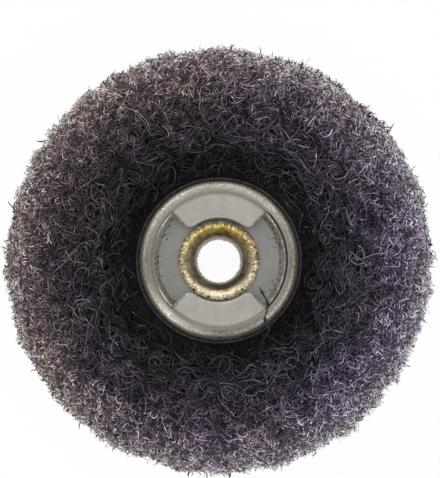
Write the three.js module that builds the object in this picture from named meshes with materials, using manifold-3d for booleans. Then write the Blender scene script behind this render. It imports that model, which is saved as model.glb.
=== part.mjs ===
// Sanding disc: a pad of abrasive nonwoven fleece on a sheet-metal quick-lock hub.
// Millimetres. The disc's axis is +Z, the hub's open face looks up, and the origin is on the axis
// at the height of the surface that the disc lies on.

import * as THREE from 'three';
import { mergeVertices } from 'three/addons/utils/BufferGeometryUtils.js';
import { ImprovedNoise } from 'three/addons/math/ImprovedNoise.js';
import Module from 'manifold-3d';

// Fleece pad
const fleeceRadius = 12.55; // mean radius of the cut edge
const fleeceThickness = 10.8; // across the front and rear crests
const clampedThickness = 2.5; // left between the hub and the rear washer
const crestRadius = 9.6; // where the pad is thickest
const clampMargin = 0.12; // flat face left around the metal that presses on it
const edgeFullness = 2.05; // 2 would round the cut edge to an ellipse
const tuftHeight = 0.42;
const tuftPitch = 1.9;
const creaseDepth = 0.5; // share of the tuft height that lies below the mean surface
const crestSink = 0.32; // mean surface of the crests below the tips that the disc lies on
const tuftOnset = 1.3; // radial distance over which the tufts rise out of the pressed face
const fleeceBoreClearance = 0.15;

// Lock cap
const capRadius = 4.64; // outside of the wall
const capSheet = 0.4;
const shoulderRadius = 0.36;
const rimWidth = 0.84; // from the plate's edge to the outside of the wall
const rimRise = 0.12; // of the rounded rim over the plate
const skirtFlare = 0.27;
const flareHeight = 1.1;

// Bow-tie opening of the cap
const lobeHalfAngle = 45; // degrees either side of the X axis
const cornerFillet = 0.53;
const throatClearance = 0.08; // around the eyelet's flange
const ledgeInView = 0.16; // of the cup's rim, seen inside the lobes

// Lock cup
const cupSheet = 0.3;
const cupFillet = 0.32; // inside, between floor and wall
const cupClearance = 0.1; // between the cup's wall and the cap's
const lockDepth = 1.35; // clear height between the cup's floor and the cap's plate

// Eyelet
const boreRadius = 1.33;
const eyeletWall = 0.27;
const flangeRadius = 2.42;
const flangeHeight = 0.52;
const flangeRoll = 0.37; // radial reach of the rounding from the flange's crest to its edge
const bellDepth = 1.1;
const rearFlangeRadius = 2.3;
const rearFlangeHeight = 0.44;
const rearBellDepth = 0.7;
const holeClearance = 0.06; // around the eyelet, in the cup and in the washer

// Rear washer
const washerRadius = 4.6;
const washerSheet = 0.5;

// Fineness of the round shapes
const hubFacets = 48;
const eyeletFacets = 40;
const fleeceFacets = 108;
const bowlSteps = 8;
const edgeSteps = 9;
const bendSteps = 4;
const curlSteps = 3;
const bellSteps = 4;
const openingSteps = 4;
const weldDistance = 1e-5;

// Heights that follow from the sizes above
const midZ = fleeceThickness / 2;
const pressedFrontZ = midZ + clampedThickness / 2;
const pressedRearZ = midZ - clampedThickness / 2;
const floorZ = pressedFrontZ + cupSheet;
const capUnderZ = floorZ + lockDepth;
const plateZ = capUnderZ + capSheet;
const rimZ = plateZ + rimRise;
const washerZ = pressedRearZ - washerSheet;

// Radii that follow from the sizes above
const capInnerRadius = capRadius - capSheet;
const skirtRadius = capRadius + skirtFlare;
const plateRadius = capRadius - rimWidth;
const cupRadius = capInnerRadius - cupClearance;
const cupInnerRadius = cupRadius - cupSheet;
const lobeRadius = cupInnerRadius + ledgeInView;
const throatRadius = flangeRadius + throatClearance;
const tubeRadius = boreRadius + eyeletWall;

const point = (radius, height) => new THREE.Vector2(radius, height);

// Elliptic arc in the (radius, height) plane, angles in degrees from the outward direction.
function arc(centre, radiusAcross, radiusUp, from, to, steps) {
  const start = THREE.MathUtils.degToRad(from);
  const end = THREE.MathUtils.degToRad(to);
  const clockwise = to < from;
  const curve = new THREE.EllipseCurve(centre.x, centre.y, radiusAcross, radiusUp, start, end, clockwise);
  return curve.getPoints(steps);
}

// A closed mesh with its shared corners joined, from any three.js geometry.
function weld(geometry) {
  const bare = geometry.clone();
  bare.deleteAttribute('normal');
  bare.deleteAttribute('uv');
  return mergeVertices(bare, weldDistance);
}

// Turns a closed outline, listed anticlockwise in (radius, height), about +Z.
function revolve(outline, facets) {
  const closed = [...outline, outline[0].clone()];
  const geometry = new THREE.LatheGeometry(closed, facets);
  geometry.rotateX(Math.PI / 2);
  return weld(geometry);
}

// Outer radius of the eyelet's tube or bell at a height over the seat of one end.
function eyeletRadiusAt(heightOverSeat, end) {
  const bellStart = end.height - end.bell;
  const share = THREE.MathUtils.clamp((heightOverSeat - bellStart) / (end.bell - eyeletWall), 0, 1);
  const crest = end.radius - flangeRoll;
  return crest - (crest - tubeRadius) * Math.sqrt(1 - share * share);
}

const frontEnd = { seat: floorZ, up: 1, radius: flangeRadius, height: flangeHeight, bell: bellDepth };
const rearEnd = { seat: washerZ, up: -1, radius: rearFlangeRadius, height: rearFlangeHeight, bell: rearBellDepth };
const cupHoleRadius = eyeletRadiusAt(0, frontEnd) + holeClearance;
const washerHoleRadius = eyeletRadiusAt(0, rearEnd) + holeClearance;
const fleeceBoreRadius = Math.max(
  eyeletRadiusAt(-cupSheet, frontEnd),
  eyeletRadiusAt(-washerSheet, rearEnd),
) + fleeceBoreClearance;

// Flips the diagonal of every other face of a turned mesh, so that its tufts don't lean one way.
function crossDiagonals(geometry, facesAround) {
  const corners = geometry.index.array;
  const facesAlong = corners.length / 6 / facesAround;
  for (let face = 0; face < corners.length / 6; face += 1) {
    const isOdd = (face + Math.floor(face / facesAlong)) % 2 === 1;
    const [a, b, d, c] = corners.slice(6 * face, 6 * face + 4);
    if (isOdd) corners.set([a, b, c, a, c, d], 6 * face);
  }
  return geometry;
}

// Half section of the pad on one side of its middle plane, from the pressed face to the equator.
function padSide(pressedRadius, side) {
  const pressed = clampedThickness / 2;
  const crest = midZ - crestSink;
  const bowl = Array.from({ length: bowlSteps + 1 }, (_, i) => {
    const share = i / bowlSteps;
    const rise = THREE.MathUtils.smoothstep(share, 0, 1);
    const radius = pressedRadius + (crestRadius - pressedRadius) * share;
    return point(radius, midZ + side * (pressed + (crest - pressed) * rise));
  });
  const edge = Array.from({ length: edgeSteps }, (_, i) => {
    const turn = (Math.PI / 2) * ((i + 1) / edgeSteps);
    const across = Math.sin(turn) ** (2 / edgeFullness);
    const up = Math.cos(turn) ** (2 / edgeFullness);
    return point(crestRadius + (fleeceRadius - crestRadius) * across, midZ + side * crest * up);
  });
  return [...bowl, ...edge];
}

// Matted tufts: puffs with creases between them, and a finer fuzz, push the pad's free surface in and out.
function raiseTufts(geometry) {
  const noise = new ImprovedNoise();
  geometry.computeVertexNormals();
  const place = geometry.attributes.position;
  const normal = geometry.attributes.normal;
  const at = new THREE.Vector3();
  const way = new THREE.Vector3();
  for (let i = 0; i < place.count; i += 1) {
    at.fromBufferAttribute(place, i);
    way.fromBufferAttribute(normal, i);
    const pressedRadius = (at.z > midZ ? skirtRadius : washerRadius) + clampMargin;
    const free = THREE.MathUtils.smoothstep(Math.hypot(at.x, at.y) - pressedRadius, 0, tuftOnset);
    const coarse = at.clone().divideScalar(tuftPitch);
    const fine = at.clone().multiplyScalar(2 / tuftPitch);
    const puff = 2 * Math.abs(noise.noise(coarse.x, coarse.y, coarse.z)) - creaseDepth;
    const fuzz = noise.noise(fine.x, fine.y, fine.z);
    at.addScaledVector(way, tuftHeight * free * (puff + fuzz));
    place.setXYZ(i, at.x, at.y, THREE.MathUtils.clamp(at.z, 0, fleeceThickness));
  }
  geometry.deleteAttribute('normal');
  return geometry;
}

function fleeceShape() {
  const rear = padSide(washerRadius + clampMargin, -1);
  const front = padSide(skirtRadius + clampMargin, 1);
  const outline = [
    point(fleeceBoreRadius, pressedRearZ),
    ...rear,
    ...front.slice(0, -1).reverse(),
    point(fleeceBoreRadius, pressedFrontZ),
  ];
  return raiseTufts(crossDiagonals(revolve(outline, fleeceFacets), fleeceFacets));
}

// Section of the cap: flat plate, raised rounded rim, wall and flared skirt.
function capBlank() {
  const pilotRadius = throatRadius / 2; // swallowed by the opening
  const shoulder = point(capRadius - shoulderRadius, rimZ - shoulderRadius);
  const flare = point(skirtRadius, pressedFrontZ + flareHeight);
  const rimFoot = (shoulder.x - plateRadius) / 3;
  return revolve([
    point(pilotRadius, capUnderZ),
    point(cupRadius, capUnderZ),
    point(capInnerRadius, capUnderZ - cupClearance),
    point(capInnerRadius, flare.y),
    point(skirtRadius - capSheet, pressedFrontZ),
    ...arc(flare, skirtFlare, flareHeight, 270, 180, bendSteps),
    ...arc(shoulder, shoulderRadius, shoulderRadius, 0, 90, bendSteps),
    point(plateRadius + rimFoot, plateZ + rimRise / 2),
    point(plateRadius, plateZ),
    point(pilotRadius, plateZ),
  ], hubFacets);
}

// The bow-tie: a round throat with a lobe to each side, its four inward corners rounded.
function openingShape() {
  const edge = THREE.MathUtils.degToRad(lobeHalfAngle);
  const filletReach = throatRadius + cornerFillet;
  const filletAngle = edge + Math.asin(cornerFillet / filletReach);
  const shape = new THREE.Shape();
  for (const turn of [0, Math.PI]) {
    const next = turn + Math.PI;
    const filletAt = (angle) => [filletReach * Math.cos(angle), filletReach * Math.sin(angle)];
    const right = turn - Math.PI / 2;
    shape.absarc(0, 0, lobeRadius, turn - edge, turn + edge, false);
    shape.absarc(...filletAt(turn + filletAngle), cornerFillet, right + edge,
      turn + filletAngle - Math.PI, true);
    shape.absarc(0, 0, throatRadius, turn + filletAngle, next - filletAngle, false);
    shape.absarc(...filletAt(next - filletAngle), cornerFillet, turn - filletAngle + 2 * Math.PI,
      next + Math.PI / 2 - edge, true);
  }
  return shape;
}

function capShape() {
  const cutter = new THREE.ExtrudeGeometry(openingShape(), {
    depth: 3 * capSheet,
    bevelEnabled: false,
    curveSegments: openingSteps,
  });
  cutter.translate(0, 0, capUnderZ - capSheet);
  return geometryOf(solidOf(capBlank()).subtract(solidOf(weld(cutter))));
}

function cupShape() {
  const bend = cupFillet + cupSheet;
  const corner = point(cupInnerRadius - cupFillet, floorZ + cupFillet);
  return revolve([
    point(cupHoleRadius, pressedFrontZ),
    ...arc(corner, bend, bend, 270, 360, bendSteps),
    point(cupRadius, capUnderZ),
    point(cupInnerRadius, capUnderZ),
    ...arc(corner, cupFillet, cupFillet, 360, 270, bendSteps),
    point(cupHoleRadius, floorZ),
  ], hubFacets);
}

// One end of the eyelet's sheet: its outer face runs from the flange's edge down into the bore.
function curledEnd({ seat, up, radius, height, bell }) {
  const crest = radius - flangeRoll;
  const roll = height - eyeletWall / 2;
  const bellCentre = point(crest, height - bell);
  const rollCentre = point(crest, height - roll);
  const place = (p) => point(p.x, seat + up * p.y);
  const outer = [
    point(radius, 0),
    ...arc(rollCentre, flangeRoll, roll, 0, 90, curlSteps),
    ...arc(bellCentre, crest - boreRadius, bell, 90, 180, bellSteps).slice(1),
  ];
  const inner = [
    ...arc(bellCentre, crest - tubeRadius, bell - eyeletWall, 180, 90, bellSteps),
    ...arc(rollCentre, flangeRoll - eyeletWall, roll - eyeletWall, 90, 0, curlSteps).slice(1),
    point(radius - eyeletWall, 0),
  ];
  return { outer: outer.map(place), inner: inner.map(place) };
}

function eyeletShape() {
  const front = curledEnd(frontEnd);
  const rear = curledEnd(rearEnd);
  return revolve([
    ...front.outer,
    ...rear.outer.reverse(),
    ...rear.inner.reverse(),
    ...front.inner,
  ], eyeletFacets);
}

function washerShape() {
  const round = washerSheet / 2;
  const edgeCentre = point(washerRadius - round, washerZ + round);
  return revolve([
    point(washerHoleRadius, washerZ),
    ...arc(edgeCentre, round, round, -90, 90, bendSteps),
    point(washerHoleRadius, pressedRearZ),
  ], hubFacets);
}

const manifold = await Module();
manifold.setup();

function solidOf(geometry) {
  return new manifold.Manifold(new manifold.Mesh({
    numProp: 3,
    vertProperties: new Float32Array(geometry.attributes.position.array),
    triVerts: new Uint32Array(geometry.index.array),
  }));
}

function geometryOf(solid) {
  const mesh = solid.getMesh();
  const geometry = new THREE.BufferGeometry();
  geometry.setAttribute('position', new THREE.BufferAttribute(mesh.vertProperties, 3));
  geometry.setIndex(new THREE.BufferAttribute(mesh.triVerts, 1));
  return geometry;
}

function piece(name, geometry, color, roughness, metalness) {
  const material = new THREE.MeshStandardMaterial({ color, roughness, metalness });
  const mesh = new THREE.Mesh(geometry, material);
  mesh.name = name;
  return mesh;
}

const disc = new THREE.Group();
disc.add(
  piece('fleece_disc', fleeceShape(), 0x4a4450, 0.95, 0),
  piece('lock_cap', capShape(), 0xa9a79f, 0.35, 1),
  piece('lock_cup', cupShape(), 0x8c8b87, 0.4, 1),
  piece('eyelet', eyeletShape(), 0xb59a55, 0.35, 1),
  piece('rear_washer', washerShape(), 0x9c9a94, 0.4, 1),
);

export default disc;
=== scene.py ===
"""Sanding disc: an abrasive fleece pad on a plated quick-lock hub.

Metres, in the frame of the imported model: the disc's axis is +Z, the hub's open face looks up and
the disc lies on z = 0. Sections are written in millimetres as (radius, height) pairs.
"""
import math
from types import SimpleNamespace

import bmesh
import bpy
import numpy as np
from mathutils import Matrix, Vector


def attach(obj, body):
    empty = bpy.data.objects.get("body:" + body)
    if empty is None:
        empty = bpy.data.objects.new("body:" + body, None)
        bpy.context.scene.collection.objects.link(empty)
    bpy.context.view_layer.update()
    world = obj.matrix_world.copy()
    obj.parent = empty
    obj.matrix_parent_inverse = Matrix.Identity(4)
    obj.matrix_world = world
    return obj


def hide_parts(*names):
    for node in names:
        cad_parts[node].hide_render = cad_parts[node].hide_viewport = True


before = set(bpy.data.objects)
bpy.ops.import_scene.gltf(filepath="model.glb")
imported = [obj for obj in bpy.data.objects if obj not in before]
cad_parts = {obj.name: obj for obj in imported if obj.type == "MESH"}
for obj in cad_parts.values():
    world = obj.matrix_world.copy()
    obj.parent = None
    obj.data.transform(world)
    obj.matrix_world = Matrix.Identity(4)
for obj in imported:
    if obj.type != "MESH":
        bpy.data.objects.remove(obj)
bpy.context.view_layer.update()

MM = 0.001
chance = np.random.default_rng(4127)

# Fleece pad
FLEECE_RADIUS = 12.55
MID_HEIGHT = 5.4
PRESSED_HALF = 1.25
CREST_HALF = 5.08
CREST_RADIUS = 9.6
FRONT_PRESSED_RADIUS = 5.03
REAR_PRESSED_RADIUS = 4.72
EDGE_FULLNESS = 2.05
FLEECE_BORE = 1.75
CORE_DEPTH = 0.34  # the felted core lies this far under the outermost fibres
TUFT_ONSET = 1.3  # radial distance over which the tufts rise out of the pressed face
LOWEST_FIBRE, LOWEST_CORE = 0.05, 0.12

# Lock cap
PLATE_Z = 8.70
PLATE_UNDER_Z = 8.30
PLATE_RADIUS = 3.80
RIM_Z = 8.82
RIM_FOOT = 0.36
SHOULDER = 0.36
CAP_RADIUS = 4.64
CAP_INNER_RADIUS = 4.24
SKIRT_RADIUS = 4.91
FLARE_TOP_Z = 7.75
SKIRT_Z = 6.65
LOBE_RADIUS = 4.00
THROAT_RADIUS = 2.50
LOBE_HALF_ANGLE = 45.0
CORNER_FILLET = 0.53
EDGE_BREAK = 0.022

# Lock cup
CUP_RADIUS = 4.14
CUP_INNER_RADIUS = 3.84
CUP_FLOOR_Z = 6.95
CUP_FILLET = 0.32
CUP_SHEET = 0.30
TUBE_HOLE = 1.66

# Eyelet
BORE_RADIUS = 1.33
TUBE_RADIUS = 1.60
EYELET_ROLL = 0.37

# Rear washer
WASHER_RADIUS = 4.60
WASHER_FRONT_Z = 4.15
WASHER_REAR_Z = 3.65


# Meshes of the hub

def arc(centre, reach, start, end, steps):
    """Points along part of an ellipse, its angles in degrees."""
    (x, y), (across, up) = centre, reach
    angles = np.radians(np.linspace(start, end, steps + 1))
    return [(x + across * math.cos(a), y + up * math.sin(a)) for a in angles]


def turned(section, steps):
    """A closed section spun about the axis."""
    bm = bmesh.new()
    chain = [bm.verts.new((r * MM, 0, z * MM)) for r, z in section]
    edges = [bm.edges.new(pair) for pair in zip(chain, chain[1:] + chain[:1])]
    bmesh.ops.spin(
        bm, geom=chain + edges, axis=(0, 0, 1), cent=(0, 0, 0),
        steps=steps, angle=math.tau, use_merge=True,
    )
    bmesh.ops.remove_doubles(bm, verts=bm.verts, dist=1e-8)
    bmesh.ops.recalc_face_normals(bm, faces=bm.faces)
    return bm


def add_object(name, data):
    thing = bpy.data.objects.new(name, data)
    bpy.context.scene.collection.objects.link(thing)
    return thing


def make_piece(name, mesh, material, replaced=()):
    """A finished piece of the disc, riding on its one body."""
    piece = add_object(name, mesh)
    mesh.materials.clear()
    mesh.materials.append(material)
    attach(piece, "root")
    if replaced:
        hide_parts(*replaced)
    return piece


def smooth_mesh(name, bm, mesh=None):
    """The bmesh as a smooth-shaded mesh, in place of a given one if there is one."""
    mesh = mesh or bpy.data.meshes.new(name)
    bm.to_mesh(mesh)
    bm.free()
    mesh.name = name
    mesh.polygons.foreach_set("use_smooth", [True] * len(mesh.polygons))
    return mesh


def metal_mesh(name, bm, crease=32):
    """Smooth-shaded mesh whose corners over the crease angle stay crisp."""
    mesh = smooth_mesh(name, bm)
    mesh.set_sharp_from_angle(angle=math.radians(crease))
    return mesh


def smoothstep(x):
    x = np.clip(x, 0, 1)
    return x * x * (3 - 2 * x)


def rim_height(radius):
    return PLATE_Z + (RIM_Z - PLATE_Z) * float(smoothstep((radius - PLATE_RADIUS) / RIM_FOOT))


def plate_angle(co):
    """Angle in degrees between a point's direction and the nearer end of the Y axis."""
    return math.degrees(math.atan2(abs(co.x), abs(co.y)))


def cap_mesh():
    stations = [THROAT_RADIUS, 2.8, 3.1, 3.4, 3.65, PLATE_RADIUS, 3.87, 3.94, LOBE_RADIUS]
    top = [(r, rim_height(r)) for r in stations + [4.06, 4.12, 4.2]]
    shoulder = arc((CAP_RADIUS - SHOULDER, RIM_Z - SHOULDER), (SHOULDER, SHOULDER), 90, 0, 8)
    flare_reach = (SKIRT_RADIUS - CAP_RADIUS, FLARE_TOP_Z - SKIRT_Z)
    flare = arc((SKIRT_RADIUS, FLARE_TOP_Z), flare_reach, 180, 256, 8)
    lip = [(SKIRT_RADIUS + 0.03, SKIRT_Z + 0.05), (SKIRT_RADIUS + 0.02, SKIRT_Z), (4.55, SKIRT_Z)]
    inside = [(4.35, 7.0), (CAP_INNER_RADIUS, 7.4), (CAP_INNER_RADIUS, PLATE_UNDER_Z)]
    under = [(r, PLATE_UNDER_Z) for r in reversed(stations)]
    bm = turned(top + shoulder + flare + lip + inside + under, 360)
    plate_from = (PLATE_UNDER_Z - 0.1) * MM  # the plate's faces and corners lie above this

    def in_lobe(co):
        in_plate = co.z > plate_from and co.xy.length < LOBE_RADIUS * MM
        return in_plate and plate_angle(co) > LOBE_HALF_ANGLE

    opened = [f for f in bm.faces if in_lobe(f.calc_center_median())]
    bmesh.ops.delete(bm, geom=opened, context="FACES")
    cut = [
        e for e in bm.edges
        if e.is_boundary and min(v.co.z for v in e.verts) > (PLATE_UNDER_Z + 0.2) * MM
    ]
    walls = bmesh.ops.extrude_edge_only(bm, edges=cut)["geom"]
    for v in walls:
        if isinstance(v, bmesh.types.BMVert):
            v.co.z = PLATE_UNDER_Z * MM
    bmesh.ops.remove_doubles(bm, verts=bm.verts, dist=1e-7)

    # round the plate's corners at the throat
    centre_radius = THROAT_RADIUS + CORNER_FILLET
    corner_angle = math.degrees(math.asin(CORNER_FILLET / centre_radius))
    span = LOBE_RADIUS - THROAT_RADIUS
    for v in bm.verts:
        radius = v.co.xy.length / MM
        off = plate_angle(v.co) - (LOBE_HALF_ANGLE - corner_angle)
        if radius < LOBE_RADIUS - 1e-4 and v.co.z > plate_from and 0 < off <= corner_angle + 0.01:
            a = math.radians(off)
            inner = CORNER_FILLET ** 2 - (centre_radius * math.sin(a)) ** 2
            foot = centre_radius * math.cos(a) - math.sqrt(max(inner, 0))
            moved = foot + (radius - THROAT_RADIUS) / span * (LOBE_RADIUS - foot)
            v.co.x *= moved / radius
            v.co.y *= moved / radius
    bmesh.ops.recalc_face_normals(bm, faces=bm.faces)
    corners = [
        e for e in bm.edges
        if len(e.link_faces) == 2 and e.calc_face_angle(0) > math.radians(60)
        and e.verts[0].co.xy.length < (LOBE_RADIUS + 0.05) * MM
        and min(v.co.z for v in e.verts) > (PLATE_Z - 0.1) * MM
    ]
    bmesh.ops.bevel(
        bm, geom=corners, offset=EDGE_BREAK * MM, segments=2, profile=0.5,
        affect="EDGES", material=-1, clamp_overlap=True,
    )
    return metal_mesh("lock_cap_plated", bm)


def cup_mesh():
    bend = CUP_FILLET + CUP_SHEET
    lip, lip_z = 0.06, 8.24
    corner = (CUP_INNER_RADIUS - CUP_FILLET, CUP_FLOOR_Z + CUP_FILLET)
    section = (
        [(TUBE_HOLE, SKIRT_Z), (3.0, SKIRT_Z)]
        + arc((CUP_RADIUS - bend, SKIRT_Z + bend), (bend, bend), 270, 360, 8)
        + [(CUP_RADIUS, lip_z)]
        + arc((CUP_RADIUS - lip, lip_z), (lip, lip), 0, 90, 3)
        + arc((CUP_INNER_RADIUS + lip, lip_z), (lip, lip), 90, 180, 3)
        + [(CUP_INNER_RADIUS, CUP_FLOOR_Z + CUP_FILLET + 0.2)]
        + arc(corner, (CUP_FILLET, CUP_FILLET), 0, -90, 8)
        + [(3.0, CUP_FLOOR_Z), (2.4, CUP_FLOOR_Z), (TUBE_HOLE, CUP_FLOOR_Z)]
    )
    return metal_mesh("lock_cup_plated", turned(section, 192))


def eyelet_mesh():
    front_crest, front_top, front_bell, front_roll_z = 2.05, 7.47, 1.10, 7.085
    rear_crest, rear_bottom, rear_bell, rear_roll_z = 1.93, 3.21, 0.70, 3.515
    front_side, rear_side = front_crest + EYELET_ROLL, rear_crest + EYELET_ROLL
    front_mouth = (front_crest - BORE_RADIUS, front_bell)
    rear_mouth = (rear_crest - BORE_RADIUS, rear_bell)
    section = (
        [(BORE_RADIUS, 4.6), (BORE_RADIUS, 5.4)]
        + arc((front_crest, front_top - front_bell), front_mouth, 180, 90, 14)
        + arc((front_crest, front_roll_z), (EYELET_ROLL, front_top - front_roll_z), 90, 0, 8)[1:]
        + [(front_side - 0.02, CUP_FLOOR_Z + 0.03), (front_side - 0.06, CUP_FLOOR_Z)]
        + [(TUBE_RADIUS, CUP_FLOOR_Z), (TUBE_RADIUS, WASHER_REAR_Z)]
        + [(rear_side - 0.06, WASHER_REAR_Z), (rear_side - 0.02, WASHER_REAR_Z - 0.03)]
        + arc((rear_crest, rear_roll_z), (EYELET_ROLL, rear_roll_z - rear_bottom), 0, -90, 8)
        + arc((rear_crest, rear_bottom + rear_bell), rear_mouth, 270, 180, 10)[1:]
    )
    bm = turned(section, 160)
    burr = np.random.default_rng(77)
    for v in bm.verts:
        radius = v.co.xy.length / MM
        if radius < BORE_RADIUS + 0.02 and 3.8 * MM < v.co.z < 5.0 * MM:
            v.co.xy *= 1 - min(abs(float(burr.normal(0.0, 0.028))), 0.075)
    return metal_mesh("eyelet_rolled", bm, crease=40)


def washer_mesh():
    edge, corner = 0.14, 0.05
    section = (
        [(TUBE_HOLE, WASHER_FRONT_Z), (TUBE_HOLE, WASHER_REAR_Z + corner)]
        + [(TUBE_HOLE + corner, WASHER_REAR_Z), (3.2, WASHER_REAR_Z)]
        + arc((WASHER_RADIUS - edge, WASHER_REAR_Z + edge), (edge, edge), 270, 360, 5)
        + arc((WASHER_RADIUS - corner, WASHER_FRONT_Z - corner), (corner, corner), 0, 90, 3)
    )
    return metal_mesh("rear_washer_plated", turned(section, 192))


# The fleece's skin

def skin_section():
    """Half section of the pad's skin, from the front pressed face round to the rear one."""
    share = np.linspace(0, 1, 90)

    def bowl(pressed_radius):
        radius = pressed_radius + (CREST_RADIUS - pressed_radius) * share
        return radius, PRESSED_HALF + (CREST_HALF - PRESSED_HALF) * smoothstep(share)

    front_r, front_h = bowl(FRONT_PRESSED_RADIUS)
    rear_r, rear_h = bowl(REAR_PRESSED_RADIUS)
    t = np.linspace(0, math.pi, 240)[1:-1]
    power = 2 / EDGE_FULLNESS
    edge_r = CREST_RADIUS + (FLEECE_RADIUS - CREST_RADIUS) * np.sin(t) ** power
    edge_h = CREST_HALF * np.sign(np.cos(t)) * np.abs(np.cos(t)) ** power
    radius = np.concatenate([front_r, edge_r, rear_r[::-1]])
    height = MID_HEIGHT + np.concatenate([front_h, edge_h, -rear_h[::-1]])
    length = np.concatenate([[0], np.cumsum(np.hypot(np.diff(radius), np.diff(height)))])
    even = np.linspace(0, length[-1], 600)
    return even, np.interp(even, length, radius), np.interp(even, length, height)


SKIN_AT, SKIN_R, SKIN_Z = skin_section()
SKIN_LENGTH = SKIN_AT[-1]
slope_r, slope_z = np.gradient(SKIN_R, SKIN_AT), np.gradient(SKIN_Z, SKIN_AT)
steepness = np.hypot(slope_r, slope_z)
NORMAL_R, NORMAL_Z = -slope_z / steepness, slope_r / steepness
NORMAL_R = np.convolve(np.pad(NORMAL_R, 8, mode="edge"), np.ones(17) / 17, "valid")
NORMAL_Z = np.convolve(np.pad(NORMAL_Z, 8, mode="edge"), np.ones(17) / 17, "valid")


def wave_field(pitch, count, seed):
    """A smooth random field of the given pitch in mm, as a sum of plane waves."""
    draw = np.random.default_rng(seed)
    heading = draw.normal(size=(count, 3))
    heading /= np.linalg.norm(heading, axis=1)[:, None]
    waves = heading * (math.tau / (pitch * draw.uniform(0.7, 1.5, count)))[:, None]
    phases = draw.uniform(0, math.tau, count)

    def field(points):
        flat = points.reshape(-1, 3)
        total = np.zeros(len(flat))
        for wave, phase in zip(waves, phases):
            total += np.sin(flat @ wave + phase)
        return (total * math.sqrt(2 / count)).reshape(points.shape[:-1])

    return field


big_tufts = wave_field(2.6, 18, 11)
small_tufts = wave_field(1.1, 22, 12)
patches = wave_field(5.0, 12, 13)


def free_share(points):
    """0 where the hub presses the pad flat, rising to 1 where its tufts are free."""
    radius = np.hypot(points[..., 0], points[..., 1])
    return smoothstep((radius - FRONT_PRESSED_RADIUS) / TUFT_ONSET)


def tuft_rise(points):
    """How far the tufts stand over or under the mean skin, in mm."""
    return free_share(points) * (0.095 * big_tufts(points) + 0.075 * small_tufts(points))


def on_skin(along, angle, height):
    """Points in mm by place along the section, angle round the axis and height over the tufts."""
    along = np.clip(along, 0, SKIN_LENGTH)
    r, z = np.interp(along, SKIN_AT, SKIN_R), np.interp(along, SKIN_AT, SKIN_Z)
    nr, nz = np.interp(along, SKIN_AT, NORMAL_R), np.interp(along, SKIN_AT, NORMAL_Z)
    base = np.stack([r * np.cos(angle), r * np.sin(angle), z], axis=-1)
    lift = height + tuft_rise(base)
    out, up = r + nr * lift, np.maximum(z + nz * lift, LOWEST_FIBRE)
    return np.stack([out * np.cos(angle), out * np.sin(angle), up], axis=-1)


def core_mesh():
    """The felted body under the loose fibres, spun and then pushed into tufts."""
    along = np.linspace(0, SKIN_LENGTH, 106)
    skin = list(zip(
        np.interp(along, SKIN_AT, SKIN_R).tolist(), np.interp(along, SKIN_AT, SKIN_Z).tolist(),
    ))
    front = [(FLEECE_BORE, SKIRT_Z - 0.01), (3.4, SKIRT_Z - 0.01)]
    rear = [(3.2, WASHER_FRONT_Z + 0.01), (FLEECE_BORE, WASHER_FRONT_Z + 0.01)]
    mesh = smooth_mesh("fleece_felted_core", turned(front + skin + rear, 360))
    count = len(mesh.vertices)
    co, normal = np.empty(count * 3), np.empty(count * 3)
    mesh.vertices.foreach_get("co", co)
    mesh.vertices.foreach_get("normal", normal)
    co, normal = co.reshape(-1, 3) / MM, normal.reshape(-1, 3)
    ripple = 0.05 * wave_field(0.55, 26, 14)(co)
    co += normal * (tuft_rise(co) + free_share(co) * (ripple - CORE_DEPTH))[:, None]
    co[:, 2] = np.maximum(co[:, 2], LOWEST_CORE)
    mesh.vertices.foreach_set("co", (co * MM).ravel())
    mesh.update()
    return mesh


# Fibres

SIDES = 3
CELL_SHAPE = 3.0  # a fibre's cell on its map is this many times longer than high


def fibre_section():
    """The triangle that every fibre is swept from."""
    curve = bpy.data.curves.new("fibre_section", "CURVE")
    curve.dimensions = "2D"
    spline = curve.splines.new("POLY")
    spline.points.add(SIDES - 1)
    for i, point in enumerate(spline.points):
        a = math.tau * i / SIDES
        point.co = (math.cos(a), math.sin(a), 0, 1)
    spline.use_cyclic_u = True
    return add_object("fibre_section", curve)


SECTION = fibre_section()


def lay_out(mesh, count, points):
    """A map with one small upright cell for each fibre, unrolled along its length."""
    corner = np.empty(len(mesh.loops), dtype=np.int64)
    mesh.loops.foreach_get("vertex_index", corner)
    corner = corner.reshape(-1, 4)
    side = corner % SIDES
    last = (side == SIDES - 1).any(axis=1, keepdims=True)
    side = np.where(last & (side == 0), SIDES, side)
    ring = corner // SIDES % points
    fibre = corner // (SIDES * points)
    columns = max(1, round(math.sqrt(count / CELL_SHAPE)))
    rows = -(-count // columns)
    across = (fibre % columns + 0.08 + 0.84 * ring / (points - 1)) / columns
    down = (fibre // columns + 0.12 + 0.76 * side / SIDES) / rows
    for layer in list(mesh.uv_layers):
        mesh.uv_layers.remove(layer)
    layer = mesh.uv_layers.new(name="OFBake")
    layer.data.foreach_set("uv", np.stack([across, down], axis=-1).ravel())


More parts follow.
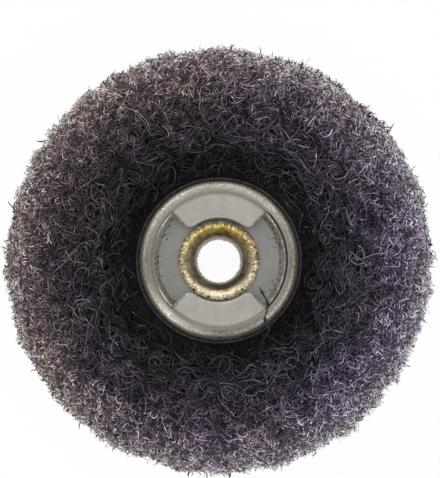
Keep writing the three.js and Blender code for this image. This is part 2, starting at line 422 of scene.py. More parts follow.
def fibre_mesh(name, paths, thickness, tints):
    """Fibres swept along paths, with their colour on an attribute. Their ends close to a point."""
    count, points = paths.shape[:2]
    curve = bpy.data.curves.new(name, "CURVE")
    curve.dimensions = "3D"
    curve.bevel_mode = "OBJECT"
    curve.bevel_object = SECTION
    curve.use_fill_caps = False
    thickness = np.array(thickness)
    thickness[:, 0] = thickness[:, -1] = 0
    co = np.ones((count, points, 4))
    co[..., :3] = paths
    for way, width in zip(co, thickness):
        spline = curve.splines.new("POLY")
        spline.points.add(points - 1)
        spline.points.foreach_set("co", way.ravel())
        spline.points.foreach_set("radius", width)
    sweep = add_object(name, curve)
    graph = bpy.context.evaluated_depsgraph_get()
    mesh = bpy.data.meshes.new_from_object(sweep.evaluated_get(graph))
    bpy.data.objects.remove(sweep)
    mesh.transform(Matrix.Scale(MM, 4))
    if len(mesh.vertices) != count * points * SIDES:
        raise RuntimeError(f"{name}: {len(mesh.vertices)} corners for {count} fibres")
    lay_out(mesh, count, points)
    tint = mesh.attributes.new("fibre_tint", "FLOAT_COLOR", "POINT")
    tint.data.foreach_set("color", np.repeat(tints.reshape(-1, 4), SIDES, axis=0).ravel())
    bm = bmesh.new()
    bm.from_mesh(mesh)
    bmesh.ops.remove_doubles(bm, verts=bm.verts, dist=1e-8)
    bmesh.ops.recalc_face_normals(bm, faces=bm.faces)
    return smooth_mesh(name, bm, mesh)


def fibre_paths(count, low, high, points, step, bend, height, lift, tilt):
    """Curled paths that wander over the skin between two places along its section."""
    along = low + (high - low) * chance.uniform(0, 1, count)
    angle = chance.uniform(0, math.tau, count)
    heading = chance.uniform(0, math.tau, count)
    turn = (1 / chance.uniform(*bend, count)) * chance.choice([-1, 1], count)
    sway = chance.uniform(0, math.tau, count)
    sway_rate = chance.uniform(0.0, 0.5, count)
    level = chance.uniform(*height, count)
    rise = chance.uniform(0, lift, count)
    rise_rate = chance.uniform(0.2, 0.9, count)
    rise_phase = chance.uniform(0, math.tau, count)
    slant = chance.uniform(*tilt, count)
    stride = np.minimum(step, 1.0 / np.abs(turn)) * chance.uniform(0.75, 1.3, count)
    out = np.empty((count, points, 3))
    for i in range(points):
        up = level + rise * np.sin(rise_phase + rise_rate * i) + slant * stride * (i - points / 2)
        out[:, i] = on_skin(along, angle, up)
        bending = turn * (0.55 + 0.6 * np.cos(sway + sway_rate * i))
        heading = heading + bending * stride + chance.normal(0, 0.12, count)
        along = along + np.cos(heading) * stride
        turned_back = (along < 0.1) | (along > SKIN_LENGTH - 0.1)
        heading = np.where(turned_back, math.pi - heading, heading)
        along = np.clip(along, 0.1, SKIN_LENGTH - 0.1)
        reach = np.interp(along, SKIN_AT, SKIN_R)
        angle = angle + np.sin(heading) * stride / reach + 4e-4
    return out, level


# how light a fibre is, at distances in mm from the axis: partly the pad's own colour, partly
# painted shade that darkens the bowl towards the hub
TONE_AND_SHADE_RADII = [5.0, 6.2, 7.5, 8.6, 9.6, 10.6, 11.4, 12.1, 12.8]
TONE_AND_SHADE_LEVELS = [0.0065, 0.0135, 0.033, 0.059, 0.112, 0.225, 0.360, 0.54, 0.70]
CUT_RADIUS = 11.2  # from here out the fibres are cut ends, greyed by wear
CUT_WIDTH = 1.3
DEEPEST, HIGHEST = -0.34, 0.2  # heights over the tufts

VIOLET_DARK, BEIGE_DARK = np.array([0.98, 0.77, 1.38]), np.array([1.14, 0.83, 0.84])
VIOLET_PALE, BEIGE_PALE = np.array([1.01, 0.84, 1.32]), np.array([1.19, 0.87, 0.74])
VIOLET_WORN, BEIGE_WORN = np.array([1.05, 0.95, 1.08]), np.array([1.16, 0.95, 0.82])


def blend(first, second, share):
    return first * (1 - share) + second * share


def fibre_tints(paths, level):
    """Fibre colour: near black by the hub, violet grey and beige towards the cut edge, with painted
    shade in the bowl, in the tufts' hollows and on deeper fibres.
    """
    count = len(paths)
    radius = np.hypot(paths[..., 0], paths[..., 1])
    x, y = paths[..., 0] / FLEECE_RADIUS, paths[..., 1] / FLEECE_RADIUS
    cut = np.clip((radius - CUT_RADIUS) / CUT_WIDTH, 0, 1)
    own = chance.normal(-0.12, 0.60, count)[:, None]
    each = np.exp(own + 0.80 * cut * chance.normal(-0.12, 1, count)[:, None])
    # painted shade: fibres that lie deeper are darker
    deep = np.interp(level, [DEEPEST, HIGHEST], [0.40, 1.25])[:, None]
    # own colour and painted shade of the bowl by radius, lighter towards +X and +Y
    light = np.interp(radius, TONE_AND_SHADE_RADII, TONE_AND_SHADE_LEVELS)
    light = light * (1.01 + 0.08 * y + x * (0.16 + 0.26 * np.clip(1 - light / 0.3, 0, 1)))
    # painted shade: darker in the hollows between the tufts, lighter on their tops
    hollow_shade = 0.12 + 0.16 * np.clip((9.8 - radius) / 2, 0, 1)
    tufts = 1 + 0.22 * small_tufts(paths) + hollow_shade * big_tufts(paths)
    light = light * each * deep * np.clip(tufts, 0.35, 1.8)

    own_warmth = chance.normal(0, 0.15, count)[:, None]
    warm = 0.50 - 0.56 * x + 0.20 * y + 0.12 * patches(paths) + own_warmth
    pale = np.clip(light / 0.30, 0, 1)[..., None]
    warm = np.clip(warm + 0.15 * cut, 0, 1)[..., None] * (0.55 + 0.45 * pale)
    worn = 0.42 * cut[..., None]
    violet = blend(blend(VIOLET_DARK, VIOLET_PALE, pale), VIOLET_WORN, worn)
    beige = blend(blend(BEIGE_DARK, BEIGE_PALE, pale), BEIGE_WORN, worn)
    # painted glints: a few points of white grain made bright as if catching the light
    painted_glint = (chance.uniform(0, 1, radius.shape) < 0.006 + 0.012 * cut)[..., None]
    colour = light[..., None] * blend(violet, beige, warm)
    colour = np.where(painted_glint, np.clip(colour * 3.5, 0.25, 0.8), colour)
    return np.concatenate([np.clip(colour, 0.003, 0.8), np.ones(radius.shape + (1,))], axis=-1)


# Shader nodes

def tree_of(*values):
    """The node tree that the sockets among the values belong to."""
    return next(v.id_data for v in values if isinstance(v, bpy.types.NodeSocket))


def put(socket, value):
    """Sets a socket, or links it where the value is a socket itself."""
    if isinstance(value, bpy.types.NodeSocket):
        socket.id_data.links.new(value, socket)
    elif socket.type == "RGBA" and len(value) == 3:
        socket.default_value = (*value, 1)
    else:
        socket.default_value = value


def fill(node, **inputs):
    """Puts values into a node's inputs, named, or by place as i0 and i1."""
    for key, value in inputs.items():
        by_place = key[0] == "i" and key[1:].isdigit()
        put(node.inputs[int(key[1:]) if by_place else key.replace("_", " ")], value)


def add_node(kind, settings=None, tree=None, **inputs):
    """A node in the given tree, or in the one that its inputs come from."""
    if tree is None:
        tree = tree_of(*inputs.values())
    node = tree.nodes.new(kind)
    for key, value in (settings or {}).items():
        setattr(node, key, value)
    fill(node, **inputs)
    return node


def maths(operation, *values, clamp=False):
    settings = {"operation": operation, "use_clamp": clamp}
    named = {f"i{i}": value for i, value in enumerate(values)}
    return add_node("ShaderNodeMath", settings, **named).outputs[0]


def chained(operation, values):
    total, *rest = values
    for value in rest:
        total = maths(operation, total, value)
    return total


def times(*values):
    return chained("MULTIPLY", values)


def plus(*values):
    return chained("ADD", values)


def between(value, low, high):
    """0 on the low side and 1 past the high one, with a straight slope between."""
    return add_node(
        "ShaderNodeMapRange", {"clamp": True}, Value=value,
        From_Min=low, From_Max=high, To_Min=0.0, To_Max=1.0,
    ).outputs[0]


def band(value, rise, fall):
    """1 between two slopes, each given by its two ends."""
    return maths("SUBTRACT", between(value, *rise), between(value, *fall))


def ramp(value, stops):
    node = add_node("ShaderNodeValToRGB", i0=value)
    elements = node.color_ramp.elements
    while len(elements) < len(stops):
        elements.new(0.5)
    for element, (place, colour) in zip(elements, stops):
        element.position = place
        element.color = (*colour, 1)
    return node.outputs["Color"]


def grey_ramp(value, stops):
    return ramp(value, [(place, (tone, tone, tone)) for place, tone in stops])


def mix_colour(share, first, second, mode="MIX"):
    settings = {"data_type": "RGBA", "blend_type": mode}
    return add_node("ShaderNodeMix", settings, i0=share, i6=first, i7=second).outputs[2]


def multiplied(first, second):
    return mix_colour(1.0, first, second, "MULTIPLY")


def noise(place, scale, detail=2.0, rough=0.5, distortion=0.0):
    return add_node(
        "ShaderNodeTexNoise", Vector=place, Scale=scale,
        Detail=detail, Roughness=rough, Distortion=distortion,
    ).outputs["Fac"]


def bumped(height, strength, distance):
    bump = add_node("ShaderNodeBump", Strength=strength, Distance=distance, Height=height)
    return bump.outputs[0]


def new_material(name):
    material = bpy.data.materials.new(name)
    material.use_nodes = True
    tree = material.node_tree
    return material, tree, tree.nodes["Principled BSDF"]


def object_place(tree):
    return add_node("ShaderNodeTexCoord", tree=tree).outputs["Object"]


def axes_of(place):
    return add_node("ShaderNodeSeparateXYZ", Vector=place).outputs


def radius_of(axes):
    """Distance from the disc's axis in mm."""
    squares = plus(maths("POWER", axes[0], 2.0), maths("POWER", axes[1], 2.0))
    return times(maths("SQRT", squares), 1 / MM)


def around_axis(axes):
    """The angle round the disc's axis, and the same as a share of a turn that starts at -X."""
    around = maths("ARCTAN2", axes[1], axes[0])
    return around, plus(0.5, maths("DIVIDE", around, math.tau))


def ring_place(around, radius, length, width):
    """A place for noise whose marks follow the disc's turning."""
    return add_node(
        "ShaderNodeCombineXYZ",
        X=times(maths("COSINE", around), length),
        Y=times(maths("SINE", around), length),
        Z=times(radius, width),
    ).outputs[0]


def new_group(name, inputs, outputs):
    group = bpy.data.node_groups.new(name, "ShaderNodeTree")
    for key, value in inputs.items():
        kind = "NodeSocketVector" if value is None else "NodeSocketFloat"
        socket = group.interface.new_socket(key, in_out="INPUT", socket_type=kind)
        if value is not None:
            socket.default_value = value
    for key in outputs:
        group.interface.new_socket(key, in_out="OUTPUT", socket_type="NodeSocketFloat")
    given = group.nodes.new("NodeGroupInput").outputs
    return group, given, group.nodes.new("NodeGroupOutput").inputs


def use_group(group, **inputs):
    return add_node("ShaderNodeGroup", {"node_tree": group}, **inputs).outputs


def sheet_wear_group():
    """Brush marks, clouding and small dark specks of a plated sheet."""
    group, given, out = new_group(
        "sheet_wear", {"Place": None, "Brush": 1.0, "Speck Share": 0.25, "Speck Size": 7000.0},
        ["Brushing", "Clouding", "Specks"],
    )
    place = given["Place"]

    def strokes(pitch, rough):
        drawn = add_node("ShaderNodeMapping", Vector=place, Scale=pitch).outputs[0]
        return noise(drawn, 1.0, 2.0, rough)

    fine, coarse = strokes((9000, 500, 500), 0.6), strokes((2600, 260, 260), 0.5)
    both = plus(times(fine, 0.6), times(coarse, 0.4))
    brushing = times(maths("SUBTRACT", both, 0.5), given["Brush"])
    put(out["Brushing"], brushing)
    put(out["Clouding"], noise(place, 620.0, 4.0, 0.62))
    cells = add_node(
        "ShaderNodeTexVoronoi", Vector=place, Scale=given["Speck Size"], Randomness=1.0,
    ).outputs
    lucky = add_node("ShaderNodeSeparateColor", Color=cells["Color"]).outputs[0]
    chosen = maths("LESS_THAN", lucky, given["Speck Share"])
    spot = maths("LESS_THAN", cells["Distance"], times(lucky, 1.1))
    put(out["Specks"], times(chosen, spot))
    return group


def curl_group():
    """Curled lines as of matted fibres: contour lines of smooth noise."""
    group, given, out = new_group(
        "matted_curls", {"Place": None, "Scale": 800.0, "Lines": 9.0}, ["Line", "Depth"],
    )
    total = None
    for shift, weight in ((0.0, 1.0), (0.37, 0.8), (0.71, 0.65)):
        moved = add_node(
            "ShaderNodeMapping", Vector=given["Place"],
            Location=(shift, shift * 1.7, shift * 0.6),
        ).outputs[0]
        value = noise(moved, given["Scale"], 1.0, 0.35, 0.6)
        contours = maths("FRACT", times(value, given["Lines"]))
        off_line = maths("ABSOLUTE", maths("SUBTRACT", contours, 0.5))
        line = maths("SUBTRACT", 1.0, times(off_line, 3.4), clamp=True)
        line = times(line, weight)
        total = line if total is None else maths("MAXIMUM", total, line)
    put(out["Line"], total)
    put(out["Depth"], noise(given["Place"], 2600.0, 3.0, 0.6))
    return group


SHEET_WEAR = sheet_wear_group()
CURLS = curl_group()


# Materials. A radius is in mm from the axis, and tones round the disc start at -X and go by -Y,
# +X and +Y.

# painted light and shade, lighter or darker by side: round the eyelet's flange, round its funnel,
# and round the cap's rim
FLANGE_LIGHTING = [
    (0.0, 0.34), (0.125, 0.85), (0.25, 2.55), (0.375, 1.0), (0.50, 0.50),
    (0.625, 0.40), (0.75, 0.72), (0.875, 0.52), (1.0, 0.36),
]
FUNNEL_LIGHTING = [
    (0.0, 0.205), (0.125, 0.20), (0.25, 0.068), (0.375, 0.105), (0.50, 0.165),
    (0.625, 0.25), (0.75, 0.17), (0.875, 0.18), (1.0, 0.205),
]
RIM_LIGHTING = [
    (0.0, 0.58), (0.07, 0.76), (0.125, 1.48), (0.18, 1.15), (0.25, 0.50),
    (0.33, 0.60), (0.42, 0.78), (0.50, 0.46), (0.58, 0.78), (0.625, 1.22),
    (0.75, 0.98), (0.875, 1.00), (0.95, 0.70), (1.0, 0.58),
]
# pits of the eyelet's flange: x, y and radius in mm
PITS = [
    (-1.51, -1.79, 0.10), (2.05, -0.69, 0.07), (1.37, -1.73, 0.07),
    (0.41, -2.35, 0.09), (-0.62, -2.18, 0.05), (2.28, 0.42, 0.05),
]
PIT_Z = 7.38

WALL_SHADOW = (0.020, 0.016, 0.012)
CRACK_SHADOW = (0.016, 0.013, 0.010)
CORNER_SHADOW = (0.035, 0.028, 0.022)
FOOT_DIRT_AND_SHADE = (0.030, 0.026, 0.025)
GROOVE_DARK = (0.11, 0.10, 0.08)
EDGE_DIRT = (0.10, 0.080, 0.060)
SPECK_BROWN = (0.080, 0.060, 0.042)
BENT_METAL = (0.43, 0.41, 0.37)
LIP_HIGHLIGHT = (0.88, 0.84, 0.74)
BARE_BRONZE_GLINT = (0.90, 0.84, 0.75)
PITTED_BRONZE = (0.10, 0.072, 0.050)


def stain(sheet, share, colour):
    """Covers part of a sheet's tone."""
    sheet.tone = mix_colour(share, sheet.tone, colour)


def shade(sheet, share, factor):
    """Darkens or lightens part of a sheet's tone."""
    stain(sheet, share, multiplied(sheet.tone, factor))


def scuffed_bronze(sheet, around):
    """What shows on the rim where the plating is scuffed through."""
    radius, grain = sheet.radius, sheet.grain
    ringed = noise(ring_place(around, radius, 1.0, 3.0), 7.0, 3.0, 0.65)
    scuffing = plus(times(grain, 0.34), times(ringed, 0.42), times(sheet.clouding, 0.24))
    bronze = ramp(scuffing, [
        (0.38, (0.20, 0.165, 0.13)), (0.50, (0.37, 0.335, 0.29)), (0.60, (0.56, 0.53, 0.48)),
    ])
    # bare bronze flecks on the rim's outer part, painted bright as glints
    sparkle = times(between(grain, 0.56, 0.63), between(radius, 4.25, 4.45), 0.55)
    bronze = mix_colour(sparkle, bronze, BARE_BRONZE_GLINT)
    pitted = times(between(grain, 0.50, 0.42), between(radius, 4.30, 4.58), 0.55)
    return mix_colour(pitted, bronze, PITTED_BRONZE)


def rim_wear_and_shading(sheet):
    """Scuffed bronze on the rim with painted light and shade across and round it, a darker groove
    inside it, dirt and painted shade down the wall, and painted shadow on the lobes' walls.
    """
    radius, grain, (x, _, z) = sheet.radius, sheet.grain, sheet.axes
    around, turn = around_axis(sheet.axes)
    on_rim = between(radius, 4.02, 4.24)
    stain(sheet, times(on_rim, 0.80), scuffed_bronze(sheet, around))
    # painted shade across the rim, darkest about 4.2 mm from the axis
    shade(sheet, 1.0, ramp(maths("SUBTRACT", radius, 4.0), [
        (0.05, (1, 1, 1)), (0.18, (0.80, 0.80, 0.80)), (0.36, (0.96, 0.96, 0.96)),
        (0.50, (1, 1, 1)), (0.62, (1, 0.97, 0.92)),
    ]))
    # painted highlight on the rim's outer shoulder
    shade(sheet, between(radius, 4.34, 4.50), (1.55, 1.52, 1.48))
    # painted light and shade round the rim
    shade(sheet, on_rim, grey_ramp(turn, RIM_LIGHTING))
    # a darker band in the groove inside the rim
    groove = band(radius, (3.76, 3.96), (4.04, 4.22))
    stain(sheet, times(groove, 0.47), GROOVE_DARK)

    # dirt and painted shade down the outer wall, where the fleece closes round it, near black at
    # the foot
    low = times(between(z, 8.62 * MM, 8.10 * MM), on_rim)
    grime_and_shade = ramp(grain, [
        (0.38, (0.12, 0.095, 0.08)), (0.50, (0.44, 0.40, 0.37)), (0.60, (0.95, 0.90, 0.84)),
    ])
    stain(sheet, times(low, 0.94), grime_and_shade)
    foot = times(between(z, 7.20 * MM, 6.75 * MM), on_rim)
    stain(sheet, times(foot, 0.90), FOOT_DIRT_AND_SHADE)

    # the lobes' walls and the crack behind them: painted shadow, darkest on the +X side
    east = between(x, 0.4 * MM, 2.4 * MM)
    wall = times(
        between(radius, 4.03, 4.005), between(z, PLATE_Z * MM, 8.64 * MM),
        plus(0.05, times(east, 0.7)), between(radius, 3.9, 3.96),
    )
    stain(sheet, wall, WALL_SHADOW)
    sideways = maths("DIVIDE", x, times(radius, MM))
    crack = band(radius, (3.985, 4.0), (4.07, 4.11))
    stain(sheet, times(crack, between(sideways, 0.68, 0.76), 0.93), CRACK_SHADOW)

    # dirt along the plate's straight edges
    cut_edge = times(
        between(maths("ABSOLUTE", sideways), 0.672, 0.692),
        between(radius, 2.80, 2.95), between(radius, 4.02, 3.96),
        between(grain, 0.34, 0.52),
    )
    stain(sheet, times(cut_edge, 0.85), EDGE_DIRT)
    sheet.rough = plus(sheet.rough, times(groove, 0.35), times(on_rim, 0.20))


def bend_wear_and_shading(sheet):
    """Paler metal where the sheet bends up, painted shadow in the corner and a painted highlight
    along the lip.
    """
    radius, (x, _, z) = sheet.radius, sheet.axes
    east = between(x, 0.6 * MM, 2.2 * MM)
    sideways = maths("ABSOLUTE", maths("DIVIDE", x, times(radius, MM)))
    stain(sheet, times(between(radius, 3.62, 3.76), 0.85), BENT_METAL)
    bend = between(radius, 3.54, 3.66)
    sheet.rough = plus(sheet.rough, times(bend, 0.55))
    # painted shadow from 3.85 mm out, where the cap's edge overhangs the cup, darkest on the +X
    # side and away from the corners
    corner = times(
        plus(0.03, times(east, 0.42)),
        plus(0.25, times(between(sideways, 0.74, 0.80), 0.75)),
        between(radius, 3.82, 3.87),
    )
    stain(sheet, corner, CORNER_SHADOW)
    # painted highlight along the cup's rounded lip, strongest on the +X side and by the corners,
    # broken by noise
    by_corners = between(sideways, 0.96, 0.84)
    lip = times(
        band(radius, (3.86, 3.89), (3.95, 3.98)),
        between(z, 8.18 * MM, 8.26 * MM),
        maths("MAXIMUM", times(east, 0.6), by_corners),
        plus(0.35, times(between(noise(sheet.place, 4200.0), 0.44, 0.54), 0.60)),
    )
    stain(sheet, lip, LIP_HIGHLIGHT)


def plated_sheet(name, colour, tarnish, roughness, brush, speck_share, worn):
    """Satin nickel over pressed steel, with the wear and the painted light and shade that its own
    shape brings.
    """
    material, tree, shader = new_material(name)
    place = object_place(tree)
    axes = axes_of(place)
    radius = radius_of(axes)
    dirt = times(speck_share, plus(0.3, between(radius, 3.1, 3.7)))
    wear = use_group(SHEET_WEAR, Place=place, Brush=brush, Speck_Share=dirt)
    clouded = maths("MULTIPLY", maths("SUBTRACT", wear["Clouding"], 0.42), 2.4, clamp=True)
    grain = noise(place, 9500.0, 3.0, 0.7)
    level = plus(0.84, wear["Brushing"], times(grain, 0.32))
    sheet = SimpleNamespace(
        place=place, axes=(axes[0], axes[1], axes[2]), radius=radius, grain=grain,
        clouding=wear["Clouding"], rough=plus(roughness, times(wear["Brushing"], 0.5)),
        tone=multiplied(mix_colour(clouded, colour, tarnish), level),
    )
    worn(sheet)
    specks = times(wear["Specks"], between(radius, 3.86, 3.80), 0.66)
    stain(sheet, specks, SPECK_BROWN)
    fill(
        shader, Base_Color=sheet.tone, Metallic=0.85,
        Roughness=maths("ADD", sheet.rough, times(wear["Specks"], 0.4), clamp=True),
        Normal=bumped(plus(wear["Brushing"], times(grain, 0.6)), 0.35, 0.02 * MM),
    )
    return material


def rolled_brass(name):
    """Brass with the radial drag marks of the rolling tool, browned inside the funnel, with painted
    light and shade across and round it.
    """
    material, tree, shader = new_material(name)
    place = object_place(tree)
    axes = axes_of(place)
    radius = radius_of(axes)
    around, turn = around_axis(axes)
    marks = noise(ring_place(around, radius, 1.0, 0.10), 38.0, 3.0, 0.75)
    clouds = noise(place, 1500.0, 4.0, 0.65)
    rings = noise(ring_place(around, radius, 0.5, 4.5), 9.0, 4.0, 0.7)
    spots = noise(place, 5600.0, 3.0, 0.7)
    streaked = ramp(plus(times(marks, 0.6), times(spots, 0.4)), [
        (0.42, (0.10, 0.07, 0.040)), (0.475, (0.34, 0.27, 0.165)),
        (0.52, (0.58, 0.50, 0.34)), (0.58, (0.98, 0.92, 0.74)),
    ])
    mottled = ramp(plus(times(rings, 0.6), times(clouds, 0.4)), [
        (0.42, (0.17, 0.12, 0.07)), (0.50, (0.42, 0.34, 0.22)), (0.58, (0.84, 0.74, 0.54)),
    ])
    tone = mix_colour(between(radius, 1.88, 2.10), mottled, streaked)

    # painted highlight: yellower towards +Y, with a painted gleam along the crest between the drag
    # marks
    highlit_side = times(between(axes[1], -0.4 * MM, 2.0 * MM), between(radius, 2.28, 2.08))
    tone = multiplied(tone, mix_colour(highlit_side, (1.02, 0.99, 0.95), (1.18, 0.99, 0.46)))
    gleam = times(band(radius, (1.92, 2.00), (2.12, 2.20)), highlit_side, between(marks, 0.44, 0.54))
    tone = mix_colour(gleam, tone, multiplied(tone, (2.0, 1.9, 1.5)))

    # painted light and shade: darker towards the funnel, lighter over the flange's outer roll, and
    # lighter or darker by side from the tables above
    across = grey_ramp(maths("SUBTRACT", radius, 1.5), [
        (0.40, 0.33), (0.60, 0.52), (0.72, 0.88), (0.86, 1.0),
    ])
    flange = multiplied(grey_ramp(turn, FLANGE_LIGHTING), across)
    flange = multiplied(flange, (1.7, 1.7, 1.7))
    funnel = grey_ramp(turn, FUNNEL_LIGHTING)
    level = mix_colour(between(radius, 1.74, 2.06), funnel, flange)
    tone = multiplied(tone, multiplied(level, (1.9, 1.9, 1.9)))

    wear = use_group(SHEET_WEAR, Place=place, Brush=0.0, Speck_Share=0.5, Speck_Size=8200.0)
    specks = times(
        wear["Specks"], between(radius, 2.14, 2.32),
        between(axes[1], 1.2 * MM, -0.2 * MM), 0.8,
    )
    tone = mix_colour(specks, tone, (0.07, 0.048, 0.026))
    ragged = between(noise(place, 7500.0, 2.0, 0.7), 0.36, 0.58)
    torn = times(between(radius, 1.50, 1.40), ragged)
    tone = mix_colour(torn, tone, (0.62, 0.60, 0.56))
    for x, y, size in PITS:
        centre = (x * MM, y * MM, PIT_Z * MM)
        off = add_node("ShaderNodeVectorMath", {"operation": "DISTANCE"}, i0=place, i1=centre)
        uneven = plus(off.outputs[1], times(clouds, 0.06 * MM))
        pit = between(uneven, (size + 0.08) * MM, (size + 0.02) * MM)
        tone = mix_colour(pit, tone, (0.030, 0.020, 0.012))
    fill(
        shader, Base_Color=tone, Metallic=0.65, Roughness=plus(0.40, times(clouds, 0.2)),
        Normal=bumped(marks, 0.8, 0.05 * MM),
    )
    return material


def felted_core(name):
    """The matted body of the pad, seen between its loose fibres."""
    material, tree, shader = new_material(name)
    place = object_place(tree)
    curls = use_group(CURLS, Place=place, Scale=1250.0, Lines=7.0)
    share = maths("DIVIDE", radius_of(axes_of(place)), 13.0)
    # partly own colour, partly painted shade: darker towards the hub, and darker still in the gaps
    # between the curls
    line_colour = ramp(share, [
        (0.40, (0.006, 0.005, 0.008)), (0.60, (0.022, 0.018, 0.029)), (0.74, (0.055, 0.044, 0.064)),
        (0.86, (0.14, 0.112, 0.138)), (0.96, (0.25, 0.205, 0.225)),
    ])
    gap_shade = ramp(share, [
        (0.45, (0.004, 0.0035, 0.0045)), (0.75, (0.010, 0.008, 0.011)),
        (0.96, (0.030, 0.023, 0.028)),
    ])
    fill(
        shader, Base_Color=mix_colour(curls["Line"], gap_shade, line_colour),
        Roughness=0.85, Specular_IOR_Level=0.25,
        Normal=bumped(plus(curls["Line"], times(curls["Depth"], 0.8)), 0.9, 0.08 * MM),
    )
    return material


def grained_nylon(name):
    """Nylon fibre with abrasive grain stuck along it."""
    material, tree, shader = new_material(name)
    tint = add_node("ShaderNodeAttribute", {"attribute_name": "fibre_tint"}, tree).outputs["Color"]
    grain = noise(object_place(tree), 11000.0, 2.0, 0.6)
    speckle = ramp(grain, [
        (0.36, (0.42, 0.40, 0.40)), (0.52, (1.0, 1.0, 1.0)), (0.68, (1.7, 1.65, 1.7)),
    ])
    fill(
        shader, Base_Color=multiplied(tint, speckle), Roughness=plus(0.38, times(grain, 0.3)),
        Specular_IOR_Level=0.4,
    )
    return material


# The hub and the felted core

SATIN_NICKEL, NICKEL_TARNISH = (0.36, 0.35, 0.32), (0.29, 0.275, 0.24)
# the cup's nickel is darker than the cap's: painted shade of the recess
SHADED_CUP_NICKEL, SHADED_CUP_TARNISH = (0.255, 0.25, 0.232), (0.20, 0.195, 0.175)
CLEAN_NICKEL, CLEAN_TARNISH = (0.46, 0.45, 0.43), (0.34, 0.33, 0.31)

# roughness, strength of the brush marks and share of specks follow the two colours
cap_metal = plated_sheet("cap_plating", SATIN_NICKEL, NICKEL_TARNISH, 0.36, 0.30, 0.12, rim_wear_and_shading)
cup_metal = plated_sheet("cup_plating", SHADED_CUP_NICKEL, SHADED_CUP_TARNISH, 0.34, 0.30, 0.50, bend_wear_and_shading)
washer_metal = plated_sheet(
    "washer_plating", CLEAN_NICKEL, CLEAN_TARNISH, 0.34, 0.40, 0.20, bend_wear_and_shading,
)
brass = rolled_brass("eyelet_brass")
core_stuff = felted_core("fleece_felted_core")
fibre_stuff = grained_nylon("fleece_fibre")

make_piece("lock_cap_plated", cap_mesh(), cap_metal, ["lock_cap"])
make_piece("lock_cup_plated", cup_mesh(), cup_metal, ["lock_cup"])
make_piece("eyelet_rolled", eyelet_mesh(), brass, ["eyelet"])
make_piece("rear_washer_plated", washer_mesh(), washer_metal, ["rear_washer"])
core = make_piece("fleece_felted_core", core_mesh(), core_stuff, ["fleece_disc"])


# The loose fibres. Places along the section are mm from where the front face is pressed flat.

BOWL = 6.1  # where the front bowl ends
EDGE = 12.55  # the widest place
UNDER = 19.0  # where the rear bowl starts

LAYERS = [
    # name, count, from, to,
    #     points, step, bend radii, heights, lift, tilt, thickness
    ("bowl_fibres_deep", 1200, 0.2, BOWL - 0.6,
     14, 0.21, (0.28, 1.1), (-0.34, -0.12), 0.10, (-0.02, 0.02), 0.033),
    ("bowl_fibres_loose", 1550, 0.4, BOWL - 1.7,
     13, 0.20, (0.26, 1.5), (-0.12, 0.16), 0.15, (-0.05, 0.05), 0.029),
    ("crest_fibres", 2900, BOWL - 3.0, BOWL + 1.2,
     7, 0.15, (0.10, 0.6), (-0.24, 0.12), 0.12, (-0.25, 0.25), 0.029),
    ("edge_fibres_deep", 10800, BOWL - 1.6, EDGE + 0.6,
     4, 0.15, (0.07, 0.4), (-0.34, -0.10), 0.08, (-0.7, 0.7), 0.031),
    ("edge_fibres_loose", 15600, BOWL - 1.4, EDGE + 0.6,
     4, 0.125, (0.06, 0.35), (-0.15, 0.15), 0.10, (-0.9, 0.9), 0.028),
    ("rear_edge_fibres", 5400, EDGE - 0.4, UNDER + 0.6,
     5, 0.20, (0.15, 0.7), (-0.34, 0.06), 0.12, (-0.5, 0.5), 0.035),
    ("rear_bowl_fibres", 900, UNDER - 0.4, SKIN_LENGTH - 0.1,
     11, 0.28, (0.35, 1.6), (-0.25, 0.10), 0.14, (-0.05, 0.05), 0.035),
]


def varied(thickness, least, most, paths):
    """A thickness for each point, with each fibre somewhat thinner or thicker than the rest."""
    count, points = paths.shape[:2]
    return thickness * chance.uniform(least, most, (count, 1)) * np.ones((1, points))


def add_fibres(name, paths, thickness, tints):
    make_piece(name, fibre_mesh(name, paths, thickness, tints), fibre_stuff)


for name, count, low, high, points, step, bend, heights, lift, tilt, thick in LAYERS:
    paths, level = fibre_paths(count, low, high, points, step, bend, heights, lift, tilt)
    thickness = varied(thick, 0.75, 1.2, paths)
    add_fibres(name, paths, thickness, fibre_tints(paths, level))


def strand_tints(paths):
    """Grey lilac that keeps a loose strand clear of the dark bowl under it."""
    radius = np.hypot(paths[..., 0], paths[..., 1])
    # partly own colour, partly painted shade: darker towards the hub, lighter towards +X
    light = np.interp(radius, [5.0, 6.3, 8.0, 9.6, 11.0], [0.022, 0.068, 0.140, 0.20, 0.24])
    each = np.exp(chance.normal(0, 0.42, len(paths)))[:, None]
    light = light * (1 + 0.25 * paths[..., 0] / FLEECE_RADIUS) * each
    tint = np.ones(radius.shape + (4,))
    tint[..., :3] = np.minimum(light[..., None] * np.array([1.06, 0.92, 1.12]), 0.28)
    return tint


STRANDS, STRAND_POINTS, STRAND_STEP = 400, 15, 0.15
strands, _ = fibre_paths(
    STRANDS, 0.5, BOWL - 1.1, STRAND_POINTS, STRAND_STEP,
    bend=(0.18, 0.8), height=(0.02, 0.20), lift=0.16, tilt=(-0.02, 0.02),
)
strand_thickness = varied(0.026, 0.75, 1.2, strands)
add_fibres("bowl_strands", strands, strand_thickness, strand_tints(strands))


